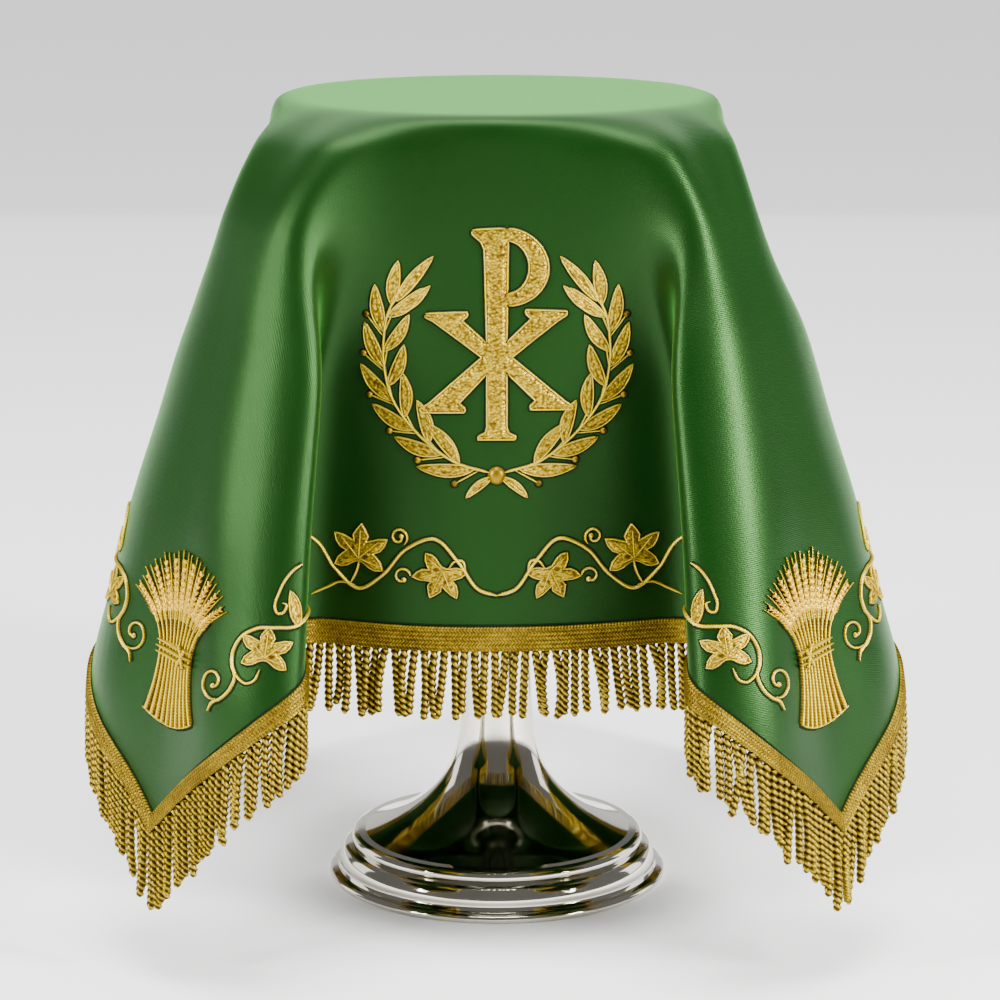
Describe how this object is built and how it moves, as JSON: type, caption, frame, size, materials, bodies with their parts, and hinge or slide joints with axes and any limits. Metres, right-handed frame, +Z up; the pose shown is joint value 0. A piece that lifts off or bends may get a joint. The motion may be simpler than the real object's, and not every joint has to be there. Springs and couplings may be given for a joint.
{
  "type": "chalice veil on a chalice",
  "caption": "Square cloth with a braided, fringed hem, draped over a covered cup: flat round top, straight sides and a hanging fold at each corner, above the cup's stepped foot.",
  "frame": {"origin": "centre of the flat underside of the chalice's foot, on the surface it stands on", "axes": "+Z up along the chalice's axis, -Y out of the veil's front side, +X to the right of someone who looks at that front"},
  "size_m": [0.2613, 0.2613, 0.265],
  "materials": {
    "green_satin": "silk satin with a soft broad sheen",
    "gold_braid": "woven metallic gold braid",
    "gold_bullion": "twisted metallic gold bullion",
    "silver": "polished silver"
  },
  "bodies": {
    "root": {"veil": "green_satin", "braid_front": "gold_braid", "braid_right": "gold_braid", "braid_back": "gold_braid", "braid_left": "gold_braid", "fringe_front": "gold_bullion", "fringe_right": "gold_bullion", "fringe_back": "gold_bullion", "fringe_left": "gold_bullion", "chalice_foot": "silver", "chalice_knop": "silver", "chalice_cup": "silver", "paten": "silver"}
  },
  "joints": []
}
